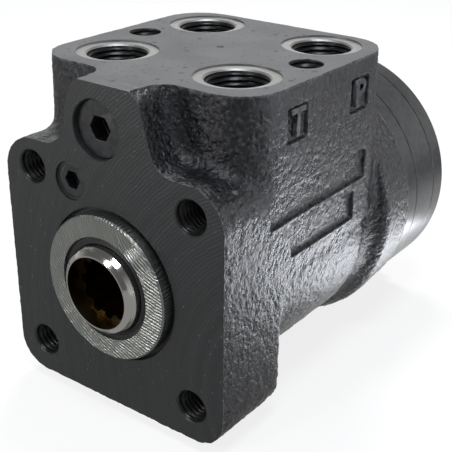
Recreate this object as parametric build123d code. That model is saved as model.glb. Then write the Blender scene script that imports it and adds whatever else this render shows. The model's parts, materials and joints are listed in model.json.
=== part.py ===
from build123d import *
import math
import os

# Orbital steering unit: a rotary steering valve that meters oil through a gerotor gear set.
# Millimetres. +Z points up to the port face, +Y runs along the steering axis from the mounting
# face to the end cover, and the origin is where the steering axis meets the mounting face.
# Angles about the steering axis are counted from +X towards +Z.

# Mounting flange
flange_width = 81.0
flange_depth = 28.0
shoulder_height = 38.3
foot_corner_radius = 10.0
shoulder_corner_radius = 12.0
flange_bolt_circle = 82.5
flange_bolt_angle = 45.0
m10_radius = 5.0
m10_chamfer = 0.4
flange_hole_depth = 20.0

# Valve neck and port block
port_face_height = 58.85
neck_top_half_width = 12.1
neck_foot_half_width = 17.6
neck_top_radius = 5.0
neck_foot_radius = 7.5
block_width = 78.3
block_front = 11.5
block_back = 87.0
block_centre_x = 0.4
block_front_radius = 13.0
block_back_radius = 14.0
block_draft = 1.0
block_foot_height = 6.0
web_half_width = 9.0
web_radius = 7.0

# Barrel, waist and rear rim
barrel_radius = 40.3
barrel_front = 20.0
barrel_back = 78.0
barrel_edge_radius = 6.0
waist_radius = 38.3
rim_radius = 44.0
rim_front = 84.2
rim_slope = 3.6
rim_edge = 0.8
rim_back_radius = 42.9
housing_back = 100.7

# Ports
port_pitch_x = 43.5
port_pitch_y = 43.0
port_centre_x = 0.6
port_centre_y = housing_back / 2
port_radius = 9.0
port_depth = 15.0
port_depth_step = 0.4
spot_face_radius = 12.25
spot_face_depth = 0.6
top_hole_pitch = 59.8
top_hole_x = 0.35
top_hole_shift = 0.45
top_hole_depth = 15.0
centre_mark_radius = 1.2
centre_mark_depth = 0.8

# Steering valve
sleeve_radius = 19.0
spool_radius = 13.2
running_gap = 0.06
sleeve_end_gap = 0.3
port_groove_radius = 22.5
port_groove_width = 3.0
tank_groove_shift = 1.15
left_groove_shift = 5.75
right_groove_shift = -3.5
pump_groove_shift = 3.5
port_passage_radius = 2.4
port_passage_foot = 12.0
sleeve_hole_radius = 1.2
sleeve_holes_per_row = 4

# Spool
nose_front = -6.4
nose_mouth_radius = 10.85
nose_mouth_depth = 5.0
nose_round = 2.4
spline_teeth = 12
spline_minor_radius = 8.75
spline_major_radius = 10.3
spline_half_angle = 7.5
spline_back = 14.0
spool_bore_radius = 9.0
spool_bore_front = 28.5
spool_end_gap = 1.4
spool_turn = 12.0
oil_slot_width = 2.4
oil_slot_depth = 1.1
oil_slot_length = 14.0
oil_slots_per_row = 6

# Centring springs and their ring
spring_front = 18.0
spring_width = 9.0
spring_half_length = 17.2
spring_leaf = 0.6
flat_leaf = 0.8
spring_bow = 1.2
spring_gap = 0.03
spring_ring_inner_radius = 17.65
spring_ring_outer_radius = 18.9
spring_slot_gap = 0.25

# Cross pin and cardan shaft
pin_radius = 4.0
pin_gap = 0.03
pin_y = 62.0
pin_end_gap = 0.4
fork_radius = 7.8
fork_gap = 0.15
fork_front = 5.0
fork_back = 7.0
cardan_radius = 5.2
cardan_tip_radius = 8.5
cardan_root_radius = 6.9
cardan_tooth_half_angle = 4.6
cardan_spline_length = 7.0
cardan_nose = 0.4

# Gland and shaft seals
gland_radius = 22.0
gland_front = -3.0
gland_back = 12.0
gland_edge = 0.5
gland_mouth_radius = 23.5
gland_mouth_depth = 2.0
gland_bore_gap = 0.3
dust_seal_radius = 15.75
dust_seal_back = 2.0
dust_seal_setback = 0.5
seal_gap = 0.1
shaft_seal_radius = 17.0
shaft_seal_front = 4.0
shaft_seal_back = 8.0
gland_groove_depth = 2.0
gland_groove_width = 3.2
gland_groove_y = 7.5
seal_side_gap = 0.2

# Thrust bearing
race_inner_radius = 14.3
race_outer_radius = 21.6
front_race = 1.4
rear_race = 1.0
needle_radius = 1.0
needle_count = 12
needle_inner_radius = 15.6
needle_outer_radius = 20.4
needle_gap = 0.06
bearing_step = 0.3
cage_thickness = 1.2

# Gear set: a ring with one lobe more than the rotor, whose profile is an inset epitrochoid
rotor_lobes = 6
eccentricity = 3.0
lobe_circle_radius = 32.0
lobe_radius = 7.0
mesh_gap = 0.08
gear_width = 13.0
gear_side_gap = 0.03
plate_thickness = 7.4
rear_radius = 42.0
plate_bore_radius = 9.5
plate_port_radius = 2.4
meter_circle_radius = 25.5
meter_passage_radius = 1.75
meter_row_y = 52.0
meter_hole_radius = 1.5
drill_overrun = 1.0
rotor_spline_minor_radius = 7.4
rotor_spline_major_radius = 9.0
rotor_spline_half_angle = 6.9
spacer_radius = 9.4
spacer_thickness = 2.8
spacer_gap = 0.1
profile_steps = 12

# End cover and screws
cover_thickness = 7.75
cover_edge = 0.8
screw_circle_radius = 32.5
screw_radius = 4.0
fitted_shank_radius = 4.25
screw_hole_radius = 4.3
screw_reach = 18.0
screw_hole_depth = 20.0
head_radius = 6.5
head_height = 5.0
head_hex = 6.0
head_hex_depth = 3.0
washer_radius = 6.8
washer_thickness = 1.0
screw_seat_radius = 7.2
screw_seat_depth = 1.5
seal_groove_inner_radius = 38.3
seal_groove_outer_radius = 40.5
seal_groove_depth = 1.7
thread_gap = 0.02

# Check valve, along the front face normal
check_x = -3.1
check_z = 45.8
check_seat_radius = 8.5
check_plug_setback = 1.8
check_plug_head = 2.2
check_thread_radius = 7.0
check_plug_back = 13.0
check_bore_radius = 6.0
check_hex = 6.5
check_hex_depth = 5.0
check_seat_front = 30.0
check_seat_back = 36.0
check_seat_bore = 2.5
ball_radius = 4.0
ball_travel = 1.5
ball_gap = 0.05
ball_guide_radius = 4.3
stop_pin_radius = 1.25
check_tail_radius = 3.0
cross_drill_radius = 1.8

# Relief valve
relief_x = -14.0
relief_z = 28.5
relief_mouth_radius = 5.8
relief_mouth_depth = 0.8
relief_plug_radius = 5.0
relief_plug_setback = 0.9
relief_plug_back = 9.0
relief_thread_back = 13.0
relief_hex = 5.0
relief_hex_depth = 3.5
relief_bore_radius = 4.0
adjuster_back = 18.0
relief_spring_radius = 2.9
relief_wire = 0.9
relief_spring_pitch = 2.5
relief_spring_turns = 6
poppet_lift = 0.6
poppet_stem_radius = 1.7
poppet_stem_length = 4.0
poppet_flange_radius = 3.5
poppet_flange = 2.0
poppet_cone = 3.0
relief_seat_bore = 1.5
relief_seat_length = 6.0
relief_tail_radius = 2.0

# Suction valves, in line with the two lowest cover screws
suction_ball_radius = 3.0
suction_bore_radius = 3.4
suction_seat_radius = 2.0
suction_travel = 1.8
suction_pin_length = 5.0
suction_ball_gap = 0.1
suction_drill_radius = 1.2

# Derived places
shoulder_half = flange_width / 2
top_hole_y = port_centre_y + top_hole_shift
front_port_y = port_centre_y - port_pitch_y / 2
back_port_y = port_centre_y + port_pitch_y / 2
left_port_x = port_centre_x - port_pitch_x / 2
right_port_x = port_centre_x + port_pitch_x / 2
tank_groove_y = front_port_y + tank_groove_shift
left_groove_y = front_port_y + left_groove_shift
right_groove_y = back_port_y + right_groove_shift
pump_groove_y = back_port_y + pump_groove_shift
groove_rows = [tank_groove_y, left_groove_y, right_groove_y, pump_groove_y]
sleeve_back = housing_back - sleeve_end_gap
sleeve_bore_radius = spool_radius + running_gap
housing_bore_radius = sleeve_radius + running_gap
spool_back = housing_back - spool_end_gap
spring_back = spring_front + spring_width
plate_back = housing_back + plate_thickness
gear_back = plate_back + gear_width
cover_back = gear_back + cover_thickness
rotor_front = plate_back + gear_side_gap
rotor_back = gear_back - gear_side_gap
spacer_back = rotor_back - spacer_gap
spacer_front = spacer_back - spacer_thickness
rotor_recess_front = spacer_front - 2 * spacer_gap
ring_lobes = rotor_lobes + 1
lobe_angles = [90 + 360 / ring_lobes * i for i in range(ring_lobes)]
pocket_angles = [angle + 180 / ring_lobes for angle in lobe_angles]
pocket_radius = lobe_circle_radius - lobe_radius + 2 * eccentricity
sleeve_front = gland_back + front_race + 2 * (needle_radius + needle_gap) + rear_race
head_seat_y = cover_back - screw_seat_depth + washer_thickness
bearing_front = gland_back + front_race
bearing_back = sleeve_front - rear_race
suction_angles = [270 - 180 / ring_lobes, 270 + 180 / ring_lobes]
suction_rows = [left_groove_y, right_groove_y]

ALONG = (Align.CENTER, Align.CENTER, Align.MIN)


def turned(*corners):
    """Solid turned about the steering axis from (radius, y) corners."""
    return revolve(make_face(Polyline(*corners, close=True)), Axis.Y)


def band(outer, inner, front, back):
    """Plain ring about the steering axis."""
    return turned((inner, front), (outer, front), (outer, back), (inner, back))


def rod(radius, front, back, x=0.0, z=0.0):
    """Cylinder along Y from front to back."""
    return Pos(x, front, z) * Rot(-90, 0, 0) * Cylinder(radius, back - front, align=ALONG)


def well(radius, foot, top, x, y):
    """Cylinder along Z from foot to top."""
    return Pos(x, y, foot) * Cylinder(radius, top - foot, align=ALONG)


def cone(front_radius, back_radius, front, back, x=0.0, z=0.0):
    """Cone along Y, for chamfers and pointed ends."""
    return Pos(x, front, z) * Rot(-90, 0, 0) * Cone(front_radius, back_radius, back - front, align=ALONG)


def along_axis(outline, front, back, x=0.0, z=0.0):
    """Outline drawn in X and Z, extruded from front to back."""
    return Pos(x, front, z) * Rot(90, 0, 0) * extrude(outline, amount=front - back)


def at_angle(shape, degrees):
    """Shape turned about the steering axis, from +X towards +Z."""
    return Rot(0, -degrees, 0) * shape


def on_circle(radius, degrees):
    """X and Z of a point on a circle about the steering axis."""
    angle = math.radians(degrees)
    return radius * math.cos(angle), radius * math.sin(angle)


def radial_hole(radius, inner, outer, y, degrees):
    """Drilling that runs outwards from the steering axis."""
    hole = Pos(inner, y, 0) * Rot(0, 90, 0) * Cylinder(radius, outer - inner, align=ALONG)
    return at_angle(hole, degrees)


def hex_key(across, front, back, x=0.0, z=0.0):
    """Hexagon socket cut along Y."""
    return along_axis(RegularPolygon(across / 2, 6, major_radius=False), front, back, x, z)


def flange_outline():
    """Square flange with the valve neck standing on its shoulders."""
    plate = Pos(0, (shoulder_height - shoulder_half) / 2) * Rectangle(
        flange_width, shoulder_height + shoulder_half
    )
    feet = plate.vertices().group_by(Axis.Y)[0]
    plate = fillet(feet, foot_corner_radius)
    shoulders = plate.vertices().group_by(Axis.Y)[-1]
    plate = fillet(shoulders, shoulder_corner_radius)
    neck = make_face(
        Polyline(
            (-neck_foot_half_width, 0),
            (-neck_foot_half_width, shoulder_height),
            (-neck_top_half_width, port_face_height),
            (neck_top_half_width, port_face_height),
            (neck_foot_half_width, shoulder_height),
            (neck_foot_half_width, 0),
            close=True,
        )
    )
    outline = plate + neck
    corners = [v for v in outline.vertices() if abs(abs(v.X) - neck_foot_half_width) < 0.01]
    outline = fillet(corners, neck_foot_radius)
    return fillet(outline.vertices().group_by(Axis.Y)[-1], neck_top_radius)


def block_outline():
    """Port face with the foot of the neck, seen from above."""
    depth = block_back - block_front
    block = Pos(block_centre_x, block_front + depth / 2) * Rectangle(block_width, depth)
    block = fillet(block.vertices().group_by(Axis.Y)[0], block_front_radius)
    block = fillet(block.vertices().group_by(Axis.Y)[-1], block_back_radius)
    web_depth = 2 * web_radius
    outline = block + Pos(0, block_front) * Rectangle(2 * web_half_width, web_depth)
    corners = [v for v in outline.vertices() if math.isclose(abs(v.X), web_half_width, abs_tol=0.01)]
    inner = [v for v in corners if math.isclose(v.Y, block_front, abs_tol=0.01)]
    return fillet(inner, web_radius - 0.5)


def casting():
    """Outside of the iron housing, before machining."""
    flange = along_axis(flange_outline(), 0, flange_depth)
    face = Pos(0, 0, port_face_height) * Rot(180, 0, 0) * mirror(block_outline(), Plane.XZ)
    block = extrude(face, amount=port_face_height - block_foot_height, taper=-block_draft)
    barrel = turned(
        (0, barrel_front), (barrel_radius, barrel_front), (barrel_radius, barrel_back), (0, barrel_back)
    )
    barrel = fillet(barrel.edges().group_by(Axis.Y)[-1], barrel_edge_radius)
    rim = turned(
        (0, rim_front - rim_slope),
        (waist_radius, rim_front - rim_slope),
        (rim_radius - rim_edge, rim_front - rim_edge / 2),
        (rim_radius, rim_front + rim_edge),
        (rim_back_radius, housing_back),
        (0, housing_back),
    )
    return flange + block + barrel + rod(waist_radius, barrel_front + 1, housing_back - 1) + rim


def housing():
    """Machined housing: valve bore, port grooves, passages, valve bores and screw holes."""
    body = casting()
    cuts = [
        rod(gland_mouth_radius, -1, gland_mouth_depth),
        rod(gland_radius, -1, sleeve_front + bearing_step),
        rod(housing_bore_radius, 0, housing_back + 1),
        seal_groove(housing_back - seal_groove_depth),
    ]
    half = port_groove_width / 2
    cuts += [band(port_groove_radius, 0, y - half, y + half) for y in groove_rows]
    for quarter in range(4):
        x, z = on_circle(flange_bolt_circle / 2, flange_bolt_angle + 90 * quarter)
        cuts.append(rod(m10_radius, -1, flange_hole_depth, x, z))
        cuts.append(cone(m10_radius + m10_chamfer, m10_radius, 0, m10_chamfer, x, z))
    ports = [
        (right_port_x, front_port_y, tank_groove_y),
        (left_port_x, front_port_y, left_groove_y),
        (left_port_x, back_port_y, right_groove_y),
        (right_port_x, back_port_y, pump_groove_y),
    ]
    for step, (x, y, groove_y) in enumerate(ports):
        port_foot = port_face_height - port_depth - step * port_depth_step
        cuts.append(well(spot_face_radius, port_face_height - spot_face_depth, port_face_height + 1, x, y))
        cuts.append(well(port_radius, port_foot, port_face_height + 1, x, y))
        cuts.append(well(port_passage_radius, port_passage_foot, port_foot + 1, x, groove_y))
    for side in (-1, 1):
        x = top_hole_x + side * top_hole_pitch / 2
        hole_foot = port_face_height - top_hole_depth
        cuts.append(well(m10_radius, hole_foot, port_face_height + 1, x, top_hole_y))
    cuts.append(
        well(centre_mark_radius, port_face_height - centre_mark_depth, port_face_height + 1, 0, top_hole_y)
    )
    for angle in pocket_angles:
        x, z = on_circle(meter_circle_radius, angle)
        passage_end = meter_row_y - meter_hole_radius - drill_overrun
        cuts.append(rod(meter_passage_radius, passage_end, housing_back + 1, x, z))
        cuts.append(radial_hole(meter_hole_radius, 0, meter_circle_radius, meter_row_y, angle))
    for angle in lobe_angles:
        x, z = on_circle(screw_circle_radius, angle)
        cuts.append(rod(screw_radius + thread_gap, housing_back - screw_hole_depth, housing_back + 1, x, z))
    return body - cuts - check_valve_bores() - relief_valve_bores() - suction_valve_bores()


def check_valve_bores():
    """Stepped bore behind the large front plug, with its drillings to tank and pump grooves."""
    guide_back = stop_pin_y() + 2 * stop_pin_radius
    pin_foot = check_z - check_bore_radius
    cuts = [
        rod(check_seat_radius, -1, check_plug_setback + check_plug_head, check_x, check_z),
        rod(check_thread_radius, 0, check_plug_back + 1, check_x, check_z),
        rod(check_bore_radius, 0, check_seat_back, check_x, check_z),
        rod(ball_guide_radius, 0, guide_back, check_x, check_z),
        rod(check_tail_radius, 0, pump_groove_y + cross_drill_radius + drill_overrun, check_x, check_z),
        well(stop_pin_radius, pin_foot, check_z + check_bore_radius, check_x, stop_pin_y()),
    ]
    for y in (tank_groove_y - cross_drill_radius, pump_groove_y):
        cuts.append(well(cross_drill_radius, port_groove_radius - 2, check_z, check_x, y))
    return cuts


def relief_valve_bores():
    """Stepped bore behind the small front plug, with drillings to tank and pump grooves."""
    cuts = [
        rod(relief_mouth_radius, -1, relief_mouth_depth, relief_x, relief_z),
        rod(relief_plug_radius, 0, relief_thread_back, relief_x, relief_z),
        rod(relief_bore_radius, 0, relief_seat_front() + relief_seat_length, relief_x, relief_z),
        rod(relief_tail_radius, 0, pump_groove_y + relief_tail_radius + drill_overrun, relief_x, relief_z),
    ]
    distance = math.hypot(relief_x, relief_z)
    angle = math.degrees(math.atan2(relief_z, relief_x))
    for y in (tank_groove_y, pump_groove_y):
        cuts.append(radial_hole(cross_drill_radius, port_groove_radius - 1, distance, y, angle))
    return cuts


def suction_valve_bores():
    """Chambers in line with the two lowest screws, each opening to a cylinder groove and to tank."""
    cuts = []
    for angle, row in zip(suction_angles, suction_rows):
        x, z = on_circle(screw_circle_radius, angle)
        cuts.append(rod(suction_bore_radius, suction_seat_y(row), housing_back - 1, x, z))
        seat_foot = tank_groove_y - suction_seat_radius - drill_overrun
        cuts.append(rod(suction_seat_radius, seat_foot, suction_seat_y(row) + 1, x, z))
        for y in (row, tank_groove_y):
            inner = port_groove_radius - 1
            cuts.append(radial_hole(suction_drill_radius, inner, screw_circle_radius, y, angle))
    return cuts


def gland_bushing():
    """Bright ring that closes the valve bore and carries both shaft seals."""
    bore = spool_radius + gland_bore_gap
    ring = turned(
        (dust_seal_radius, gland_front),
        (gland_radius - gland_edge, gland_front),
        (gland_radius, gland_front + gland_edge),
        (gland_radius, gland_back),
        (shaft_seal_radius, gland_back),
        (shaft_seal_radius, shaft_seal_front),
        (bore, shaft_seal_front),
        (bore, dust_seal_back),
        (dust_seal_radius, dust_seal_back),
    )
    groove_radius = gland_radius - gland_groove_depth
    return ring - band(gland_radius + 1, groove_radius, gland_groove_y, gland_groove_y + gland_groove_width)


def gland_o_ring():
    """Static seal in the groove of the gland, square in section."""
    groove_back = gland_groove_y + gland_groove_width
    front = gland_groove_y + seal_side_gap
    return band(gland_radius, gland_radius - gland_groove_depth, front, groove_back - seal_side_gap)


def dust_seal():
    """Wiper with a lip that leans outwards over the shaft."""
    bore = spool_radius + seal_gap
    front = gland_front + dust_seal_setback
    return turned(
        (dust_seal_radius, front + 0.6),
        (dust_seal_radius, dust_seal_back),
        (bore + 1.0, dust_seal_back),
        (bore + 1.0, front + 2.0),
        (bore, front + 0.4),
        (bore + 0.5, front),
        (bore + 1.4, front + 0.6),
    )


def shaft_seal():
    """Pressure seal with a groove in each face, so that it has four lips."""
    bore = spool_radius + seal_gap
    middle = (bore + shaft_seal_radius) / 2
    notch = 0.6
    return turned(
        (bore, shaft_seal_front),
        (middle - notch, shaft_seal_front),
        (middle, shaft_seal_front + notch),
        (middle + notch, shaft_seal_front),
        (shaft_seal_radius, shaft_seal_front),
        (shaft_seal_radius, shaft_seal_back),
        (middle + notch, shaft_seal_back),
        (middle, shaft_seal_back - notch),
        (middle - notch, shaft_seal_back),
        (bore, shaft_seal_back),
    )


def backing_ring():
    """Stiff ring between the shaft seal and the thrust bearing."""
    return band(shaft_seal_radius, spool_radius + gland_bore_gap, shaft_seal_back, gland_back)


def front_thrust_race():
    return band(race_outer_radius, race_inner_radius, gland_back, bearing_front)


def rear_thrust_race():
    return band(race_outer_radius, race_inner_radius, bearing_back, sleeve_front)


def needle_angles():
    return [360 / needle_count * i for i in range(needle_count)]


def needle_y():
    return (bearing_front + bearing_back) / 2


def rolling_radius():
    return (bearing_back - bearing_front) / 2 - needle_gap


def needle_cage():
    """Thin disc with a window for each needle."""
    front = needle_y() - cage_thickness / 2
    cage = band(race_outer_radius - 0.3, race_inner_radius + 0.3, front, front + cage_thickness)
    length = needle_outer_radius - needle_inner_radius
    window = Box(length + 0.1, cage_thickness + 2, 2 * rolling_radius() + 0.1)
    window = Pos((needle_outer_radius + needle_inner_radius) / 2, needle_y(), 0) * window
    return cage - [at_angle(window, angle) for angle in needle_angles()]


def thrust_needles():
    needles = [
        radial_hole(rolling_radius(), needle_inner_radius, needle_outer_radius, needle_y(), angle)
        for angle in needle_angles()
    ]
    return Compound(children=needles)


def sleeve():
    """Outer valve sleeve: rows of oil holes, spring slots and the cross pin's hole."""
    step = spring_back + spring_gap
    body = turned(
        (sleeve_bore_radius, sleeve_front),
        (spring_ring_inner_radius - spring_gap, sleeve_front),
        (spring_ring_inner_radius - spring_gap, step),
        (sleeve_radius, step),
        (sleeve_radius, sleeve_back),
        (sleeve_bore_radius, sleeve_back),
    )
    slot_height = 2 * (leaf_end_height() + spring_slot_gap)
    slot = Pos(0, spring_front + spring_width / 2, 0) * Box(
        2 * sleeve_radius + 2, spring_width + 2 * spring_slot_gap, slot_height
    )
    cuts = [slot, radial_rod(pin_radius + pin_gap, sleeve_radius + 1)]
    for row, y in enumerate(groove_rows):
        for i in range(sleeve_holes_per_row):
            angle = (360 * i + 180 * (row % 2)) / sleeve_holes_per_row + 45
            cuts.append(radial_hole(sleeve_hole_radius, spool_radius - 2, sleeve_radius + 1, y, angle))
    inner = spool_radius - 2
    for i in range(rotor_lobes):
        angle = 360 / rotor_lobes * i
        cuts.append(radial_hole(sleeve_hole_radius, inner, sleeve_radius + 1, meter_row_y, angle))
    return body - cuts


def radial_rod(radius, half_length):
    """Cylinder through the steering axis along X, where the cross pin lies."""
    return Pos(-half_length, pin_y, 0) * Rot(0, 90, 0) * Cylinder(radius, 2 * half_length, align=ALONG)


def cross_pin():
    return radial_rod(pin_radius, sleeve_radius - pin_end_gap)


def tooth_gap_outline(inner, outer, inner_half, outer_half):
    """Tooth space between two radii, given half its width at each."""
    corners = [(inner, -inner_half), (outer, -outer_half), (outer, outer_half), (inner, inner_half)]
    return make_face(Polyline(*corners, close=True))


def spline_outline(minor, major, half_angle):
    """Bore with tooth spaces, each half_angle degrees to either side at the pitch circle."""
    outline = Circle(minor)
    pitch_half = (minor + major) / 2 * math.tan(math.radians(half_angle))
    slope = math.tan(math.radians(30)) * (major - minor) / 2
    space = tooth_gap_outline(minor - 0.8, major, pitch_half + slope + 0.4, pitch_half - slope)
    for i in range(spline_teeth):
        outline += Rot(0, 0, 360 / spline_teeth * i) * space
    return outline


def spool():
    """Inner valve spool, with the splined socket for the steering column in its nose."""
    mouth_back = nose_front + nose_mouth_depth
    body = turned(
        (nose_mouth_radius, nose_front),
        (nose_mouth_radius + 0.5, nose_front),
        (spool_radius - 0.7, nose_front + nose_round * 0.4),
        (spool_radius, nose_front + nose_round),
        (spool_radius, spool_back),
        (spool_bore_radius, spool_back),
        (spool_bore_radius, spool_bore_front),
        (0, spool_bore_front),
        (0, mouth_back),
        (nose_mouth_radius, mouth_back),
    )
    socket = spline_outline(spline_minor_radius, spline_major_radius, spline_half_angle)
    cuts = [along_axis(socket, mouth_back - 1, spline_back)]
    reach = spool_radius + 1
    swing = math.tan(math.radians(spool_turn + 1.5))
    centre = leaf_stack() + spring_slot_gap
    edge = centre + reach * swing + 0.3
    bow_tie = [(-reach, -edge), (0, -centre), (reach, -edge), (reach, edge), (0, centre), (-reach, edge)]
    window = make_face(Polyline(*bow_tie, close=True))
    cuts.append(along_axis(window, spring_front - spring_slot_gap, spring_back + spring_slot_gap))
    pin_window = pin_radius + spool_radius * math.tan(math.radians(spool_turn)) + 0.3
    cuts.append(radial_rod(pin_window, spool_radius + 1))
    slot = Pos(spool_radius, 0, 0) * Box(2 * oil_slot_depth, oil_slot_length, oil_slot_width)
    for y in ((left_groove_y + meter_row_y) / 2 - 2, pump_groove_y + 2):
        for i in range(oil_slots_per_row):
            cuts.append(at_angle(Pos(0, y, 0) * slot, 360 / oil_slots_per_row * (i + 0.5)))
    return body - cuts


def leaf_stack():
    """Half the height of the spring stack at the steering axis."""
    return flat_leaf + 2 * spring_leaf + 3 * spring_gap


def leaf_end_height():
    return leaf_stack() + spring_bow


def flat_springs():
    """Two straight leaves in the middle of the stack."""
    leaves = []
    for side in (-1, 1):
        leaf = Box(2 * spring_half_length, spring_width, flat_leaf - spring_gap)
        leaves.append(Pos(0, spring_front + spring_width / 2, side * (flat_leaf + spring_gap) / 2) * leaf)
    return Compound(children=leaves)


def arched_leaf(foot):
    """Leaf that touches the stack at its middle and bows away from it at its ends."""
    tip = spring_half_length
    top = foot + spring_leaf
    lower = ThreePointArc((-tip, foot + spring_bow), (0, foot), (tip, foot + spring_bow))
    upper = ThreePointArc((tip, top + spring_bow), (0, top), (-tip, top + spring_bow))
    ends = [Line(lower @ 1, upper @ 0), Line(upper @ 1, lower @ 0)]
    return along_axis(make_face([lower, ends[0], upper, ends[1]]), spring_front, spring_back)


def arched_springs():
    """Two bowed leaves on each side of the flat ones."""
    leaves = []
    for layer in range(2):
        leaf = arched_leaf(flat_leaf + 2 * spring_gap + layer * (spring_leaf + spring_gap))
        leaves.append(leaf)
        leaves.append(Rot(0, 180, 0) * leaf)
    return Compound(children=leaves)


def spring_ring():
    return band(spring_ring_outer_radius, spring_ring_inner_radius, spring_front - 0.4, spring_back)


def cardan_tilt():
    """Angle of the cardan shaft to the steering axis."""
    return math.degrees(math.atan2(eccentricity, cardan_joint_y() - pin_y))


def cardan_joint_y():
    return (rotor_front + rotor_recess_front) / 2


def cardan_shaft():
    """Shaft with a fork for the cross pin and a short crowned spline for the rotor."""
    joint = (cardan_joint_y() - pin_y) / math.cos(math.radians(cardan_tilt()))
    head_front = joint - cardan_spline_length / 2
    head_back = joint + cardan_spline_length / 2
    shaft = turned(
        (0, -fork_front),
        (fork_radius - 0.8, -fork_front),
        (fork_radius, -fork_front + 0.8),
        (fork_radius, fork_back),
        (cardan_radius, fork_back + 3),
        (cardan_radius, head_front - 2),
        (cardan_root_radius, head_front),
        (cardan_root_radius, head_back),
        (cardan_radius, head_back + cardan_nose),
        (0, head_back + cardan_nose),
    )
    slot_back = pin_radius + 0.8
    slot = Pos(0, (slot_back - fork_front - 1) / 2, 0) * Box(
        2 * fork_radius + 1, slot_back + fork_front + 1, 2 * (pin_radius + fork_gap)
    )
    middle = (cardan_root_radius + cardan_tip_radius) / 2
    half = middle * math.tan(math.radians(cardan_tooth_half_angle))
    slope = math.tan(math.radians(30)) * (cardan_tip_radius - cardan_root_radius) / 2
    tooth = tooth_gap_outline(cardan_root_radius - 1, cardan_tip_radius, half + slope + 0.5, half - slope)
    teeth = Sketch() + [Rot(0, 0, 360 / spline_teeth * i) * tooth for i in range(spline_teeth)]
    teeth = along_axis(teeth, head_front, head_back)
    crown = turned(
        (0, head_front),
        (cardan_tip_radius - 0.35, head_front),
        (cardan_tip_radius, joint - 1),
        (cardan_tip_radius, joint + 1),
        (cardan_tip_radius - 0.35, head_back),
        (0, head_back),
    )
    shaft = shaft - slot + (teeth & crown)
    return Pos(0, pin_y, 0) * Rot(cardan_tilt(), 0, 0) * shaft


def seal_groove(front):
    return band(seal_groove_outer_radius, seal_groove_inner_radius, front, front + seal_groove_depth)


def plate_blank(front, back):
    """Round plate with the screw holes."""
    plate = rod(rear_radius, front, back)
    holes = []
    for angle in lobe_angles:
        x, z = on_circle(screw_circle_radius, angle)
        holes.append(rod(screw_hole_radius, front - 1, back + 1, x, z))
    return plate - holes


def distributor_plate():
    """Plate that joins the metering passages to the gear pockets."""
    plate = plate_blank(housing_back, plate_back) - rod(plate_bore_radius, housing_back - 1, plate_back + 1)
    holes = []
    for angle in pocket_angles:
        x, z = on_circle(meter_circle_radius, angle)
        holes.append(rod(plate_port_radius, housing_back - 1, plate_back + 1, x, z))
    return plate - holes - seal_groove(plate_back - seal_groove_depth)


def gear_ring():
    """Fixed outer gear: round lobes that stand into a round bore."""
    bore = Circle(pocket_radius)
    for angle in lobe_angles:
        x, z = on_circle(lobe_circle_radius, angle)
        bore -= Pos(x, z) * Circle(lobe_radius)
    ring = plate_blank(plate_back, gear_back)
    return ring - along_axis(bore, plate_back - 1, gear_back + 1)


def rotor_point(angle):
    """Point of the rotor's outline: the lobe centre's path, inset by lobe radius and gap."""
    turned_angle = ring_lobes * angle
    x = lobe_circle_radius * math.cos(angle) + eccentricity * math.cos(turned_angle)
    z = lobe_circle_radius * math.sin(angle) + eccentricity * math.sin(turned_angle)
    across = -lobe_circle_radius * math.sin(angle) - ring_lobes * eccentricity * math.sin(turned_angle)
    along = lobe_circle_radius * math.cos(angle) + ring_lobes * eccentricity * math.cos(turned_angle)
    length = math.hypot(across, along)
    inset = lobe_radius + mesh_gap
    return x - along / length * inset, z + across / length * inset


def rotor():
    """Orbiting gear with one lobe fewer than the ring."""
    steps = profile_steps * rotor_lobes
    points = [rotor_point(2 * math.pi * i / steps) for i in range(steps)]
    outline = make_face(Spline(*points, periodic=True))
    body = along_axis(outline, rotor_front, rotor_back)
    bore = spline_outline(rotor_spline_minor_radius, rotor_spline_major_radius, rotor_spline_half_angle)
    body = body - along_axis(bore, rotor_front - 1, rotor_back + 1)
    body = body - rod(spacer_radius + spacer_gap, rotor_recess_front, rotor_back + 1)
    return Pos(0, 0, eccentricity) * body


def spacer_disc():
    """Loose disc that keeps the cardan off the cover; it travels round with the rotor."""
    return rod(spacer_radius, spacer_front, spacer_back, 0, eccentricity)


def end_cover():
    """Cover plate with a seat for each screw head."""
    cover = plate_blank(gear_back, cover_back)
    edge = cover.edges().filter_by(GeomType.CIRCLE).group_by(Axis.Y)[-1].sort_by(SortBy.RADIUS)[-1]
    cover = chamfer(edge, cover_edge)
    seats = []
    for angle in lobe_angles:
        x, z = on_circle(screw_circle_radius, angle)
        seats.append(rod(screw_seat_radius, cover_back - screw_seat_depth, cover_back + 1, x, z))
    return cover - seats - seal_groove(gear_back)


def end_seals():
    """Three like seal rings: housing to plate, plate to gear ring, and gear ring to cover."""
    outer = seal_groove_outer_radius - seal_side_gap
    inner = seal_groove_inner_radius + seal_side_gap
    fronts = (housing_back - seal_groove_depth, plate_back - seal_groove_depth, gear_back)
    return Compound(children=[band(outer, inner, front, front + seal_groove_depth) for front in fronts])


def cover_screw(angle, shank):
    """Cap screw with a hexagon socket; shank is its radius above the thread."""
    x, z = on_circle(screw_circle_radius, angle)
    tip = housing_back - screw_reach
    screw = rod(screw_radius, tip + 1, head_seat_y, x, z)
    screw += cone(screw_radius - 0.8, screw_radius, tip, tip + 1, x, z)
    if shank > screw_radius:
        screw += rod(shank, housing_back + 0.1, gear_back - 1, x, z)
    head_back = head_seat_y + head_height
    screw += rod(head_radius, head_seat_y, head_back - 0.5, x, z)
    screw += cone(head_radius, head_radius - 0.5, head_back - 0.5, head_back, x, z)
    return screw - hex_key(head_hex, head_back - head_hex_depth, head_back + 1, x, z)


def cover_screws():
    return Compound(children=[cover_screw(angle, screw_radius) for angle in lobe_angles[1:]])


def fitted_screw():
    """Screw whose shank fills its holes and lines up plate, gear ring and cover."""
    return cover_screw(lobe_angles[0], fitted_shank_radius)


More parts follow.
